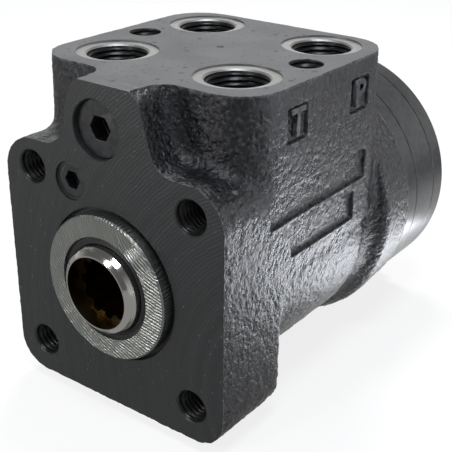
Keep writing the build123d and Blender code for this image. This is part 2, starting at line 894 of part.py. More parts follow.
def screw_washers():
    washers = []
    for angle in lobe_angles:
        x, z = on_circle(screw_circle_radius, angle)
        washer = rod(washer_radius, head_seat_y - washer_thickness, head_seat_y, x, z)
        washers.append(washer - rod(screw_radius + 0.1, head_seat_y - 2, head_seat_y + 1, x, z))
    return Compound(children=washers)


def check_plug():
    head_back = check_plug_setback + check_plug_head
    plug = rod(check_seat_radius - 0.2, check_plug_setback, head_back, check_x, check_z)
    plug += rod(check_thread_radius, head_back, check_plug_back, check_x, check_z)
    key_back = check_plug_setback + check_hex_depth
    return plug - hex_key(check_hex, check_plug_setback - 1, key_back, check_x, check_z)


def check_seat():
    """Threaded seat with a countersink for the ball."""
    seat = rod(check_bore_radius, check_seat_front, check_seat_back, check_x, check_z)
    return seat - rod(check_seat_bore, check_seat_front - 1, check_seat_back + 1, check_x, check_z)


def resting_ball(radius, seat_bore, seat_y, x, z):
    """Ball on the edge of its seat, with a hair of clearance."""
    centre = seat_y + math.sqrt(radius**2 - seat_bore**2) + ball_gap
    return Pos(x, centre, z) * Sphere(radius)


def check_ball():
    return resting_ball(ball_radius, check_seat_bore, check_seat_back, check_x, check_z)


def stop_pin_y():
    rest = check_seat_back + math.sqrt(ball_radius**2 - check_seat_bore**2) + ball_gap
    return rest + ball_radius + ball_travel + stop_pin_radius + ball_gap


def check_stop_pin():
    length = check_bore_radius - 0.1
    return well(stop_pin_radius, check_z - length, check_z + length, check_x, stop_pin_y())


def relief_plug():
    plug = rod(relief_plug_radius, relief_plug_setback, relief_plug_back, relief_x, relief_z)
    socket_back = relief_plug_setback + relief_hex_depth
    return plug - hex_key(relief_hex, relief_plug_setback - 1, socket_back, relief_x, relief_z)


def relief_adjuster():
    """Screw that sets the spring's load."""
    screw = rod(relief_bore_radius, relief_thread_back, adjuster_back, relief_x, relief_z)
    return screw - hex_key(4.0, relief_thread_back - 1, relief_thread_back + 2.5, relief_x, relief_z)


def relief_spring():
    """Coil of square wire."""
    height = relief_spring_pitch * relief_spring_turns
    path = Helix(relief_spring_pitch, height, relief_spring_radius - relief_wire / 2)
    start = Plane(origin=path @ 0, z_dir=path % 0, x_dir=(1, 0, 0))
    coil = sweep(start * Rectangle(relief_wire, relief_wire), path, is_frenet=True)
    return Pos(relief_x, adjuster_back + relief_wire, relief_z) * Rot(-90, 0, 0) * coil


def relief_spring_back():
    return adjuster_back + 2 * relief_wire + relief_spring_pitch * relief_spring_turns


def poppet_front():
    return relief_spring_back() + poppet_lift + 0.1


def relief_seat_front():
    return poppet_front() + poppet_flange + poppet_cone * 0.6


def relief_poppet():
    """Cone with a stem that guides the spring."""
    front = poppet_front()
    back = front + poppet_flange
    tip = relief_seat_bore - 0.6
    poppet = rod(poppet_stem_radius, front - poppet_stem_length, front, relief_x, relief_z)
    poppet += rod(poppet_flange_radius, front, back, relief_x, relief_z)
    root = tip + (relief_seat_bore - 0.1 - tip) / 0.4
    return poppet + cone(root, tip, back, back + poppet_cone, relief_x, relief_z)


def relief_seat():
    front = relief_seat_front()
    back = front + relief_seat_length
    seat = rod(relief_bore_radius, front, back, relief_x, relief_z)
    return seat - rod(relief_seat_bore, front - 1, back + 1, relief_x, relief_z)


def suction_sagitta():
    """How far the seat's edge lies in front of the ball's centre."""
    return math.sqrt(suction_ball_radius**2 - suction_seat_radius**2)


def suction_seat_y(row):
    return row - suction_sagitta()


def suction_pin_front(row):
    return row + suction_travel + suction_ball_gap + suction_sagitta()


def suction_ball(index):
    x, z = on_circle(screw_circle_radius, suction_angles[index])
    return resting_ball(
        suction_ball_radius, suction_seat_radius, suction_seat_y(suction_rows[index]), x, z
    )


def suction_pins():
    """Pressed tubes that keep each suction ball near its seat."""
    pins = []
    for angle, row in zip(suction_angles, suction_rows):
        x, z = on_circle(screw_circle_radius, angle)
        front = suction_pin_front(row)
        back = front + suction_pin_length
        pin = rod(suction_bore_radius, front, back, x, z)
        pins.append(pin - rod(suction_seat_radius, front - 1, back + 1, x, z))
    return Compound(children=pins)


def suction_ball_left():
    return suction_ball(0)


def suction_ball_right():
    return suction_ball(1)


PIECES = [
    housing,
    gland_bushing,
    gland_o_ring,
    dust_seal,
    shaft_seal,
    backing_ring,
    front_thrust_race,
    needle_cage,
    thrust_needles,
    rear_thrust_race,
    spool,
    sleeve,
    cross_pin,
    flat_springs,
    arched_springs,
    spring_ring,
    cardan_shaft,
    distributor_plate,
    gear_ring,
    rotor,
    spacer_disc,
    end_cover,
    end_seals,
    cover_screws,
    fitted_screw,
    screw_washers,
    check_plug,
    check_seat,
    check_ball,
    check_stop_pin,
    relief_plug,
    relief_adjuster,
    relief_spring,
    relief_poppet,
    relief_seat,
    suction_ball_left,
    suction_ball_right,
    suction_pins,
]

if __name__ == "__main__":
    os.makedirs("parts", exist_ok=True)
    for piece in PIECES:
        export_step(piece(), f"parts/{piece.__name__}.step")
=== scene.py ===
import json
import math

import bmesh
import bpy
import numpy as np
from mathutils import Matrix, Vector

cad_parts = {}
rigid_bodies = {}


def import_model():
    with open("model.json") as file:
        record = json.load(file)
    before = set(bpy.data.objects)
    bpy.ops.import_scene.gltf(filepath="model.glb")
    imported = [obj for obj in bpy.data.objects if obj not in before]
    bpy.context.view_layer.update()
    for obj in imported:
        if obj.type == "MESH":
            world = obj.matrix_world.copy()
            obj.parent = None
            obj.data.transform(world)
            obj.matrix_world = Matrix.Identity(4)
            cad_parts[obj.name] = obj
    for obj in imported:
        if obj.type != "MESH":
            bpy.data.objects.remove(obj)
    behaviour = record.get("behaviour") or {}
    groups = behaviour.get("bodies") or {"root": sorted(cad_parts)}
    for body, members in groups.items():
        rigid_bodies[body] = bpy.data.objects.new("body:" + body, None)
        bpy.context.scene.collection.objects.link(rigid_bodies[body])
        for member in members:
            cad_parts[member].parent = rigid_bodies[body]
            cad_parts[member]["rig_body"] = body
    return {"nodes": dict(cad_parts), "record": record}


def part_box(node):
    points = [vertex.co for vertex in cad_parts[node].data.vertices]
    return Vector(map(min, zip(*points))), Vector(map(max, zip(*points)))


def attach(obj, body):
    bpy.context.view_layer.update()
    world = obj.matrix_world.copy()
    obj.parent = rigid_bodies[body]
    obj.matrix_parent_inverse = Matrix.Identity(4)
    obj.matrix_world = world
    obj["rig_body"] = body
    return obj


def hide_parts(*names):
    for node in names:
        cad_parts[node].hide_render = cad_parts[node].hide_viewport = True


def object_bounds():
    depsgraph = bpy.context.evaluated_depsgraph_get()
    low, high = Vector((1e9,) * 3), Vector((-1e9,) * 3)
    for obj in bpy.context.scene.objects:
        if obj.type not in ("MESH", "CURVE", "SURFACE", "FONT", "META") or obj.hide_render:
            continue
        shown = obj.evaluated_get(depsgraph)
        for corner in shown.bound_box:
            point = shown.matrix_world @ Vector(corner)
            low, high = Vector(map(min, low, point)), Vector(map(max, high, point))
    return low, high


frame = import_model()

# Metres, in the part's own frame: the steering axis is the Y axis, from the mounting face at
# y = 0 back to the end cover, and +Z points up to the port face.
MM = 0.001
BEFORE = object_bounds()
NODES = frame["nodes"]
MOUNTS = {mount["name"]: mount for mount in frame["record"]["mounts"]}

# Camera
CAMERA_PLACE = Vector((165.49, -168.87, 128.64)) * MM
CAMERA_TURN = math.radians(36.504)
CAMERA_DIP = math.radians(25.077)
CAMERA_ROLL = math.radians(0.674)
FOCAL_PIXELS = 936.33
IMAGE_PIXELS = 452
SENSOR_WIDTH = 36.0

# Stage and light, in metres and world strengths
FLOOR_LEVEL = BEFORE[0][2]
FLOOR_REACH = 3.0
FLOOR_GREY = 0.92
FLOOR_WHITE = 0.82
WORLD_LIGHT = 0.35
WORLD_COLOUR = (0.93, 0.96, 1.0, 1.0)
DARK_ROOM = 0.12
CEILING = (0.25, 0.75)
REAR_WALL = (-0.45, 0.25)
FAR_FLOOR = 0.33
NEAR_FLOOR = (0.07, 0.17, FLOOR_LEVEL)
NEAR_FLOOR_REACH = (0.05, 0.18)
LAMP_AIM = (0.0, 0.055, 0.0)
STRIP_PLACE = (0.064, 0.125)
STRIP_LIFT = 0.001
WHITE_LIGHT = (1.0, 1.0, 1.0)
COOL_LIGHT = (0.86, 0.90, 1.0)

# Casting
BLANK_VOXEL = 1.0 * MM
BLANK_ALLOWANCE = 1.6 * MM
FILLER_MARGIN = 1.0 * MM
PLUG_FILLER_MARGIN = 1.2 * MM
PORT_FILLER_MARGIN = 0.3 * MM
PORT_FILLER_DEPTH = 18.0 * MM
TOP_HOLE_FILLER_DEPTH = 16.0 * MM
RIM_FILLER_SHARE = 0.955
RIM_FILLER_DEPTH = 14.0 * MM
PLUG_FILLER_SHARE = 0.4
BLEND_STEPS = 60
EDGE_ROUNDING = 0.10
FACE_TOLERANCE = 0.02 * MM
ON_PLANE = 1e-7
FACING = 0.99
SMALLEST_FACE = 1e-6
MARK_POINT_SHARE = 0.4
SKIN_SWELL = 0.45 * MM
SKIN_SWELL_SIZE = 2.3 * MM
SKIN_GRAIN = 0.24 * MM
SKIN_GRAIN_SIZE = 0.9 * MM
SKIN_LEVEL = 0.9

# Splined socket
SOCKET_RADIUS_MM = 10.85
SOCKET_EDGE_MM = (0.03, 0.15)

# Tapped holes
THREAD_PITCH = 1.5 * MM
THREAD_HEIGHT = 0.72 * MM
ROWS_PER_PITCH = 8
PORT_COLUMNS = 72
HOLE_COLUMNS = 48


# ---------------------------------------------------------------- shader node helpers

def node(tree, kind, **settings):
    made = tree.nodes.new(kind)
    for key, value in settings.items():
        setattr(made, key, value)
    return made


def maths(tree, operation, first, second=None, clamp=False):
    made = node(tree, "ShaderNodeMath", operation=operation, use_clamp=clamp)
    for socket, value in zip(made.inputs, (first, second)):
        if value is None:
            continue
        if isinstance(value, (int, float)):
            socket.default_value = value
        else:
            tree.links.new(value, socket)
    return made.outputs[0]


def vector_maths(tree, operation, *values):
    """Vector node on sockets or fixed vectors; gives back its outputs."""
    made = node(tree, "ShaderNodeVectorMath", operation=operation)
    for socket, value in zip(made.inputs, values):
        if isinstance(value, tuple):
            socket.default_value = value
        else:
            tree.links.new(value, socket)
    return made.outputs


def remap(tree, value, low, high):
    """Smooth 0 to 1 as a value goes from low to high."""
    made = node(tree, "ShaderNodeMapRange", interpolation_type="SMOOTHSTEP")
    made.inputs["From Min"].default_value = low
    made.inputs["From Max"].default_value = high
    tree.links.new(value, made.inputs["Value"])
    return made.outputs["Result"]


# ---------------------------------------------------------------- camera, stage and lights

def set_camera():
    view = bpy.data.cameras.new("camera")
    view.sensor_width = SENSOR_WIDTH
    view.lens = FOCAL_PIXELS / IMAGE_PIXELS * SENSOR_WIDTH
    view.clip_start = 0.01
    view.clip_end = 20.0
    camera = bpy.data.objects.new("camera", view)
    bpy.context.scene.collection.objects.link(camera)
    ahead = Vector((
        -math.sin(CAMERA_TURN) * math.cos(CAMERA_DIP),
        math.cos(CAMERA_TURN) * math.cos(CAMERA_DIP),
        -math.sin(CAMERA_DIP),
    ))
    right = Vector((math.cos(CAMERA_TURN), math.sin(CAMERA_TURN), 0.0))
    up = right.cross(ahead)
    rolled_right = right * math.cos(CAMERA_ROLL) + up * math.sin(CAMERA_ROLL)
    rolled_up = up * math.cos(CAMERA_ROLL) - right * math.sin(CAMERA_ROLL)
    camera.matrix_world = Matrix.Translation(CAMERA_PLACE) @ Matrix(
        (rolled_right, rolled_up, -ahead)
    ).transposed().to_4x4()
    bpy.context.scene.camera = camera


def set_view():
    scene = bpy.context.scene
    scene.view_settings.view_transform = "Standard"


def glow(tree, kind, strength, colour=(1.0, 1.0, 1.0, 1.0)):
    made = node(tree, kind)
    made.inputs["Color"].default_value = colour
    made.inputs["Strength"].default_value = strength
    return made.outputs[0]


def blend(tree, share, first, second):
    """Mix of two shaders by a socket or a fixed share."""
    mix = node(tree, "ShaderNodeMixShader")
    if isinstance(share, float):
        mix.inputs[0].default_value = share
    else:
        tree.links.new(share, mix.inputs[0])
    tree.links.new(first, mix.inputs[1])
    tree.links.new(second, mix.inputs[2])
    return mix.outputs[0]


def by_ray(tree, lit, in_gloss, in_view):
    """One shader for light, one for mirror and glass rays and one for the camera."""
    path = node(tree, "ShaderNodeLightPath").outputs
    mirrored = maths(tree, "MAXIMUM", path["Is Glossy Ray"], path["Is Transmission Ray"])
    reflected = blend(tree, mirrored, lit, in_gloss)
    return blend(tree, path["Is Camera Ray"], reflected, in_view)


def dim_room(tree, white):
    """White towards the rear horizon, darker overhead and in front of the mounting face."""
    place = node(tree, "ShaderNodeTexCoord")
    parts = node(tree, "ShaderNodeSeparateXYZ")
    tree.links.new(place.outputs["Generated"], parts.inputs[0])
    dark = glow(tree, "ShaderNodeBackground", DARK_ROOM)
    walls = blend(tree, remap(tree, parts.outputs["Y"], *REAR_WALL), dark, white)
    return blend(tree, remap(tree, parts.outputs["Z"], *CEILING), walls, dark)


def set_world():
    world = bpy.data.worlds.new("studio")
    bpy.context.scene.world = world
    world.use_nodes = True
    tree = world.node_tree
    tree.nodes.clear()
    soft = glow(tree, "ShaderNodeBackground", WORLD_LIGHT, WORLD_COLOUR)
    white = glow(tree, "ShaderNodeBackground", 1.0)
    out = node(tree, "ShaderNodeOutputWorld")
    tree.links.new(by_ray(tree, soft, dim_room(tree, white), white), out.inputs[0])


def floor_material():
    """White floor that keeps its shadow and looks greyer in gloss away from the barrel."""
    material = bpy.data.materials.new("white_floor")
    material.use_nodes = True
    tree = material.node_tree
    tree.nodes.clear()
    matt = node(tree, "ShaderNodeBsdfDiffuse")
    matt.inputs["Color"].default_value = (FLOOR_GREY, FLOOR_GREY, FLOOR_GREY, 1.0)
    white = glow(tree, "ShaderNodeEmission", 1.0)
    far = glow(tree, "ShaderNodeEmission", FAR_FLOOR)
    place = node(tree, "ShaderNodeTexCoord")
    away = vector_maths(tree, "DISTANCE", place.outputs["Object"], NEAR_FLOOR)
    gloss = blend(tree, remap(tree, away["Value"], *NEAR_FLOOR_REACH), white, far)
    seen = blend(tree, FLOOR_WHITE, matt.outputs[0], white)
    out = node(tree, "ShaderNodeOutputMaterial")
    tree.links.new(by_ray(tree, matt.outputs[0], gloss, seen), out.inputs[0])
    return material


def set_floor():
    mesh = bpy.data.meshes.new("floor")
    corners = [(-1, -1), (1, -1), (1, 1), (-1, 1)]
    points = [(x * FLOOR_REACH, y * FLOOR_REACH, FLOOR_LEVEL) for x, y in corners]
    mesh.from_pydata(points, [], [(0, 1, 2, 3)])
    floor = bpy.data.objects.new("floor", mesh)
    bpy.context.scene.collection.objects.link(floor)
    mesh.materials.append(floor_material())


def soft_box(name, place, size, power, colour=WHITE_LIGHT, aim=LAMP_AIM):
    """Rectangular soft box at a place, in metres, that faces a point and is hidden from view."""
    lamp = bpy.data.lights.new(name, "AREA")
    lamp.shape = "RECTANGLE"
    lamp.size = size[0]
    lamp.size_y = size[1]
    lamp.energy = power
    lamp.color = colour
    box = bpy.data.objects.new(name, lamp)
    box.visible_camera = False
    bpy.context.scene.collection.objects.link(box)
    box.location = place
    box.rotation_euler = (Vector(aim) - Vector(place)).to_track_quat("-Z", "Y").to_euler()


def set_lamps():
    soft_box("overhead_box", (-0.20, 0.35, 0.80), (0.22, 0.22), 5.0)
    soft_box("top_box", (0.20, -0.16, 0.78), (0.22, 0.22), 3.4, (0.88, 0.92, 1.0))
    soft_box("right_box", (0.80, 0.00, 0.02), (0.08, 0.20), 0.8, COOL_LIGHT)
    soft_box("low_right_box", (0.60, 0.45, -0.02), (0.08, 0.12), 1.1, COOL_LIGHT)
    soft_box("front_box", (-0.15, -0.80, 0.55), (0.12, 0.12), 2.2)
    soft_box("low_front_box", (-0.50, -0.72, 0.05), (0.20, 0.20), 1.6)
    strip = (*STRIP_PLACE, FLOOR_LEVEL + STRIP_LIFT)
    above = (*STRIP_PLACE, 1.0)
    soft_box("floor_strip", strip, (0.03, 0.08), 0.07, (0.90, 0.93, 1.0), above)


# ---------------------------------------------------------------- mesh helpers

def new_piece(name, mesh, body, *materials, slot):
    piece = bpy.data.objects.new(name, mesh)
    bpy.context.scene.collection.objects.link(piece)
    for material in materials:
        mesh.materials.append(material)
    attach(piece, body)
    return piece


def applied(mesh, *modifiers):
    """Mesh after modifiers, each given as (type, settings)."""
    thing = bpy.data.objects.new("work", mesh)
    bpy.context.scene.collection.objects.link(thing)
    for kind, settings in modifiers:
        modifier = thing.modifiers.new(kind.lower(), kind)
        for key, value in settings.items():
            setattr(modifier, key, value)
    graph = bpy.context.evaluated_depsgraph_get()
    result = bpy.data.meshes.new_from_object(thing.evaluated_get(graph))
    bpy.data.objects.remove(thing)
    return result


def points_of(mesh):
    values = np.empty(len(mesh.vertices) * 3)
    mesh.vertices.foreach_get("co", values)
    return values.reshape(-1, 3)


def normals_of(mesh):
    values = np.empty(len(mesh.vertices) * 3)
    mesh.vertex_normals.foreach_get("vector", values)
    return values.reshape(-1, 3)


def set_points(mesh, points):
    mesh.vertices.foreach_set("co", points.ravel())
    mesh.update()


def smoothstep(low, high, values):
    share = np.clip((values - low) / (high - low), 0.0, 1.0)
    return share * share * (3.0 - 2.0 * share)


def along(axis, place, radius, start, end):
    """Matrix for a unit cylinder along Y or Z from start to end through a place."""
    length = end - start
    middle = Vector(place)
    middle[1 if axis == "Y" else 2] = (start + end) / 2
    turn = Matrix.Rotation(math.pi / 2, 4, "X") if axis == "Y" else Matrix.Identity(4)
    return Matrix.Translation(middle) @ turn @ Matrix.Diagonal((radius, radius, length, 1.0))


def add_filler(form, axis, place, radius, start, end):
    """Solid cylinder that fills a bore of the blank."""
    bmesh.ops.create_cone(
        form, cap_ends=True, segments=48, radius1=1.0, radius2=1.0, depth=1.0,
        matrix=along(axis, place, radius, start, end),
    )


# ---------------------------------------------------------------- shader node groups

def start_group(name, inputs, outputs):
    """Empty node group with named sockets, each given as (name, socket type, default)."""
    tree = bpy.data.node_groups.new(name, "ShaderNodeTree")
    for label, kind, default in inputs:
        socket = tree.interface.new_socket(label, in_out="INPUT", socket_type=kind)
        socket.default_value = default
    for label, kind in outputs:
        tree.interface.new_socket(label, in_out="OUTPUT", socket_type=kind)
    return tree, tree.nodes.new("NodeGroupInput"), tree.nodes.new("NodeGroupOutput")


def noise(tree, vector, scale, detail, roughness=0.55):
    made = node(tree, "ShaderNodeTexNoise")
    made.inputs["Scale"].default_value = scale
    made.inputs["Detail"].default_value = detail
    made.inputs["Roughness"].default_value = roughness
    tree.links.new(vector, made.inputs["Vector"])
    return made.outputs["Fac"]


def millimetres(tree):
    """Object coordinates in millimetres."""
    place = node(tree, "ShaderNodeTexCoord")
    scaled = node(tree, "ShaderNodeVectorMath", operation="SCALE")
    scaled.inputs["Scale"].default_value = 1000.0
    tree.links.new(place.outputs["Object"], scaled.inputs[0])
    return scaled.outputs[0]


def in_units_of(tree, size):
    """Millimetre coordinates counted in steps of a size."""
    sizes = node(tree, "ShaderNodeCombineXYZ")
    for axis in "XYZ":
        tree.links.new(size, sizes.inputs[axis])
    return vector_maths(tree, "DIVIDE", millimetres(tree), sizes.outputs[0])[0]


def off_axis(tree, vector, across):
    """Distance from the line through the origin that is left out of the across vector."""
    flat = vector_maths(tree, "MULTIPLY", vector, across)
    return vector_maths(tree, "LENGTH", flat[0])["Value"]


def cast_grain_group():
    """Sand-cast skin: a fine orange peel with scattered pits."""
    tree, given, out = start_group(
        "cast_grain",
        [("Grain size", "NodeSocketFloat", 1.0), ("Pit share", "NodeSocketFloat", 0.3)],
        [("Height", "NodeSocketFloat"), ("Pits", "NodeSocketFloat"), ("Cloud", "NodeSocketFloat")],
    )
    place = in_units_of(tree, given.outputs["Grain size"])
    peel = noise(tree, place, 0.9, 4.0, 0.6)
    cells = node(tree, "ShaderNodeTexVoronoi", feature="SMOOTH_F1")
    cells.inputs["Scale"].default_value = 0.55
    cells.inputs["Smoothness"].default_value = 0.4
    tree.links.new(place, cells.inputs["Vector"])
    pit = remap(tree, cells.outputs["Distance"], 0.42, 0.12)
    pit = maths(tree, "MULTIPLY", pit, given.outputs["Pit share"])
    height = maths(tree, "SUBTRACT", peel, pit)
    cloud = noise(tree, millimetres(tree), 0.07, 2.0)
    tree.links.new(height, out.inputs["Height"])
    tree.links.new(pit, out.inputs["Pits"])
    tree.links.new(cloud, out.inputs["Cloud"])
    return tree


def turned_rings_group():
    """Fine grooves left by a cutting tool, round a line parallel to Y or Z."""
    tree, given, out = start_group(
        "turned_rings",
        [
            ("Centre", "NodeSocketVector", (0.0, 0.0, 0.0)),
            ("Across", "NodeSocketVector", (1.0, 0.0, 1.0)),
            ("Pitch", "NodeSocketFloat", 0.3),
        ],
        [("Height", "NodeSocketFloat"), ("Tone", "NodeSocketFloat")],
    )
    place = millimetres(tree)
    moved = vector_maths(tree, "SUBTRACT", place, given.outputs["Centre"])
    reach = off_axis(tree, moved[0], given.outputs["Across"])
    turns = maths(tree, "DIVIDE", reach, given.outputs["Pitch"])
    wander = noise(tree, place, 0.25, 2.0)
    turns = maths(tree, "ADD", turns, maths(tree, "MULTIPLY", wander, 1.4))
    wave = maths(tree, "SINE", maths(tree, "MULTIPLY", turns, 2.0 * math.pi))
    uneven = node(tree, "ShaderNodeTexNoise", noise_dimensions="1D")
    uneven.inputs["Scale"].default_value = 0.37
    uneven.inputs["Detail"].default_value = 4.0
    tree.links.new(turns, uneven.inputs["W"])
    height = maths(tree, "MULTIPLY", wave, uneven.outputs["Fac"])
    tree.links.new(height, out.inputs["Height"])
    tree.links.new(uneven.outputs["Fac"], out.inputs["Tone"])
    return tree


def edge_wear_and_highlight_group():
    """Mask of convex edges, broken up by noise, for worn paint and a painted highlight along the
    edges.
    """
    tree, given, out = start_group(
        "edge_wear_and_highlight",
        [("Reach", "NodeSocketFloat", 0.06), ("Break up", "NodeSocketFloat", 0.6)],
        [("Mask", "NodeSocketFloat")],
    )
    shape = node(tree, "ShaderNodeNewGeometry")
    raised = maths(tree, "SUBTRACT", shape.outputs["Pointiness"], 0.5)
    edge = maths(tree, "DIVIDE", raised, given.outputs["Reach"], clamp=True)
    patch = remap(tree, noise(tree, millimetres(tree), 0.5, 4.0), 0.42, 0.62)
    patch = maths(tree, "MULTIPLY", patch, given.outputs["Break up"])
    kept = maths(tree, "SUBTRACT", 1.0, patch)
    mask = maths(tree, "MULTIPLY", edge, kept, clamp=True)
    tree.links.new(mask, out.inputs["Mask"])
    return tree


def specks_group():
    """Dust and small dark or light dots on a flat face."""
    tree, given, out = start_group(
        "specks",
        [("Spacing", "NodeSocketFloat", 1.6), ("Dot size", "NodeSocketFloat", 0.16)],
        [("Mask", "NodeSocketFloat")],
    )
    cells = node(tree, "ShaderNodeTexVoronoi", feature="F1")
    cells.inputs["Scale"].default_value = 1.0
    place = in_units_of(tree, given.outputs["Spacing"])
    tree.links.new(place, cells.inputs["Vector"])
    near = maths(tree, "LESS_THAN", cells.outputs["Distance"], given.outputs["Dot size"])
    tree.links.new(near, out.inputs["Mask"])
    return tree


GROUPS = {
    "cast_grain": cast_grain_group(),
    "turned_rings": turned_rings_group(),
    "edge_wear_and_highlight": edge_wear_and_highlight_group(),
    "specks": specks_group(),
}


# ---------------------------------------------------------------- materials

ROUND_Y = (1.0, 0.0, 1.0)
ROUND_Z = (1.0, 1.0, 0.0)


class Finish:
    """One material with its Principled shader and the effects that feed it."""

    def __init__(self, name, colour, roughness, metallic=0.0):
        self.material = bpy.data.materials.new(name)
        self.material.use_nodes = True
        self.tree = self.material.node_tree
        self.shader = self.tree.nodes["Principled BSDF"]
        self.shader.inputs["Base Color"].default_value = (*colour, 1.0)
        self.shader.inputs["Roughness"].default_value = roughness
        self.shader.inputs["Metallic"].default_value = metallic
        self.height = None

    def effect(self, group, **values):
        """Outputs of one shared group, with its named sockets set."""
        made = node(self.tree, "ShaderNodeGroup", node_tree=GROUPS[group])
        for key, value in values.items():
            made.inputs[key.replace("_", " ")].default_value = value
        return made.outputs

    def tint(self, mask, first, second):
        """Base colour from first to second along a mask; each is a colour or a socket."""
        mix = node(self.tree, "ShaderNodeMix", data_type="RGBA")
        self.tree.links.new(mask, mix.inputs["Factor"])
        for label, value in (("A", first), ("B", second)):
            socket = [s for s in mix.inputs if s.name == label and s.type == "RGBA"][0]
            if isinstance(value, tuple):
                socket.default_value = (*value, 1.0)
            else:
                self.tree.links.new(value, socket)
        result = [s for s in mix.outputs if s.type == "RGBA"][0]
        self.tree.links.new(result, self.shader.inputs["Base Color"])
        return result

    def vary(self, label, value, low, high):
        """Feed a shader input with a surface value spread from low to high."""
        spread = node(self.tree, "ShaderNodeMapRange")
        self.tree.links.new(value, spread.inputs["Value"])
        spread.inputs["To Min"].default_value = low
        spread.inputs["To Max"].default_value = high
        self.tree.links.new(spread.outputs[0], self.shader.inputs[label])

    def bump(self, value, distance_mm):
        """Add one more layer of relief over those before it."""
        relief = node(self.tree, "ShaderNodeBump")
        relief.inputs["Strength"].default_value = 1.0
        relief.inputs["Distance"].default_value = distance_mm * MM
        self.tree.links.new(value, relief.inputs["Height"])
        if self.height is not None:
            self.tree.links.new(self.height, relief.inputs["Normal"])
        self.height = relief.outputs[0]
        self.tree.links.new(self.height, self.shader.inputs["Normal"])


def black_cast_paint():
    finish = Finish("black_cast_paint", (0.006, 0.0065, 0.008), 0.3)
    grain = finish.effect("cast_grain", Grain_size=1.0, Pit_share=0.35)
    wear_and_highlight = finish.effect("edge_wear_and_highlight", Reach=0.06, Break_up=0.6)
    # Base colour darker in the pits and low spots of the grain: painted shade in the hollows.
    raised = remap(finish.tree, grain["Height"], 0.1, 0.75)
    skin = finish.tint(raised, (0.0018, 0.002, 0.0026), (0.0085, 0.009, 0.0112))
    # Convex edges lighter grey: worn paint, and a painted highlight along the edges.
    finish.tint(wear_and_highlight["Mask"], skin, (0.10, 0.10, 0.105))
    finish.vary("Roughness", grain["Cloud"], 0.19, 0.36)
    finish.bump(grain["Height"], 0.42)
    return finish.material


def painted_front_face():
    finish = Finish("painted_front_face", (0.01, 0.0105, 0.0115), 0.42)
    swirl = finish.effect("turned_rings", Centre=(70.0, 0.0, -20.0), Pitch=1.0)
    specks = finish.effect("specks", Spacing=2.6, Dot_size=0.10)
    grain = finish.effect("cast_grain", Grain_size=0.8, Pit_share=0.1)
    tone = finish.tint(swirl["Tone"], (0.010, 0.0106, 0.0108), (0.021, 0.022, 0.0225))
    finish.tint(specks["Mask"], tone, (0.07, 0.07, 0.075))
    finish.vary("Roughness", grain["Cloud"], 0.36, 0.50)
    finish.bump(swirl["Height"], 0.024)
    finish.bump(grain["Height"], 0.05)
    return finish.material


def painted_port_face():
    finish = Finish("painted_port_face", (0.10, 0.10, 0.105), 0.5)
    grain = finish.effect("cast_grain", Grain_size=0.5, Pit_share=0.2)
    specks = finish.effect("specks", Spacing=2.1, Dot_size=0.17)
    spots = finish.effect("specks", Spacing=6.3, Dot_size=0.13)
    tone = finish.tint(grain["Cloud"], (0.028, 0.030, 0.032), (0.125, 0.128, 0.132))
    dots = maths(finish.tree, "MAXIMUM", specks["Mask"], spots["Mask"])
    finish.tint(dots, tone, (0.014, 0.014, 0.016))
    finish.vary("Roughness", grain["Cloud"], 0.42, 0.6)
    finish.bump(grain["Height"], 0.06)
    return finish.material


def bright_steel(
    name, pitch, depth, colour, roughness=0.3, centre=(0.0, 0.0, 0.0), across=ROUND_Y,
):
    """Bare steel or iron with tool marks round a centre, in millimetres."""
    finish = Finish(name, colour, roughness, 1.0)
    rings = finish.effect("turned_rings", Centre=centre, Across=across, Pitch=pitch)
    grain = finish.effect("cast_grain", Grain_size=0.6, Pit_share=0.1)
    dull = tuple(0.72 * part for part in colour)
    finish.tint(rings["Tone"], dull, colour)
    finish.vary("Roughness", grain["Cloud"], roughness - 0.07, roughness + 0.1)
    finish.bump(rings["Height"], depth)
    return finish.material


def polished_nose():
    """Ground outside, with a dark socket inside: oily, and darkened as painted shade in the
    socket.
    """
    finish = Finish("polished_nose", (0.55, 0.54, 0.52), 0.14, 1.0)
    rings = finish.effect("turned_rings", Pitch=0.25)
    grain = finish.effect("cast_grain", Grain_size=0.6, Pit_share=0.1)
    reach = off_axis(finish.tree, millimetres(finish.tree), ROUND_Y)
    inner, outer = (SOCKET_RADIUS_MM + edge for edge in SOCKET_EDGE_MM)
    outside = remap(finish.tree, reach, inner, outer)
    steel = finish.tint(rings["Tone"], (0.58, 0.57, 0.55), (0.74, 0.73, 0.70))
    # Dark brown inside the socket: partly oil, partly painted shade in the socket.
    oiled_and_shaded = finish.tint(grain["Cloud"], (0.02, 0.014, 0.006), (0.22, 0.15, 0.06))
    finish.tint(outside, oiled_and_shaded, steel)
    finish.vary("Roughness", outside, 0.32, 0.12)
    finish.bump(rings["Height"], 0.004)
    return finish.material


def dark_thread():
    # Near-black steel for threads and deep bores: partly oil, partly painted shade inside the
    # holes.
    finish = Finish("oiled_and_shaded_thread", (0.03, 0.03, 0.03), 0.35, 0.5)
    grain = finish.effect("cast_grain", Grain_size=0.5, Pit_share=0.2)
    finish.tint(grain["Cloud"], (0.006, 0.006, 0.007), (0.028, 0.028, 0.028))
    finish.bump(grain["Height"], 0.03)
    return finish.material


def satin_black_paint():
    finish = Finish("satin_black_paint", (0.006, 0.0065, 0.0075), 0.34)
    grain = finish.effect("cast_grain", Grain_size=0.6, Pit_share=0.1)
    wear_and_highlight = finish.effect("edge_wear_and_highlight", Reach=0.12, Break_up=0.8)
    dusty = finish.tint(grain["Cloud"], (0.004, 0.0044, 0.005), (0.009, 0.0096, 0.011))
    # Convex edges lighter grey: worn paint, and a painted highlight along the edges.
    finish.tint(maths(finish.tree, "MULTIPLY", wear_and_highlight["Mask"], 0.4), dusty, (0.12, 0.12, 0.12))
    finish.vary("Roughness", grain["Pits"], 0.30, 0.38)
    finish.bump(grain["Height"], 0.03)
    return finish.material


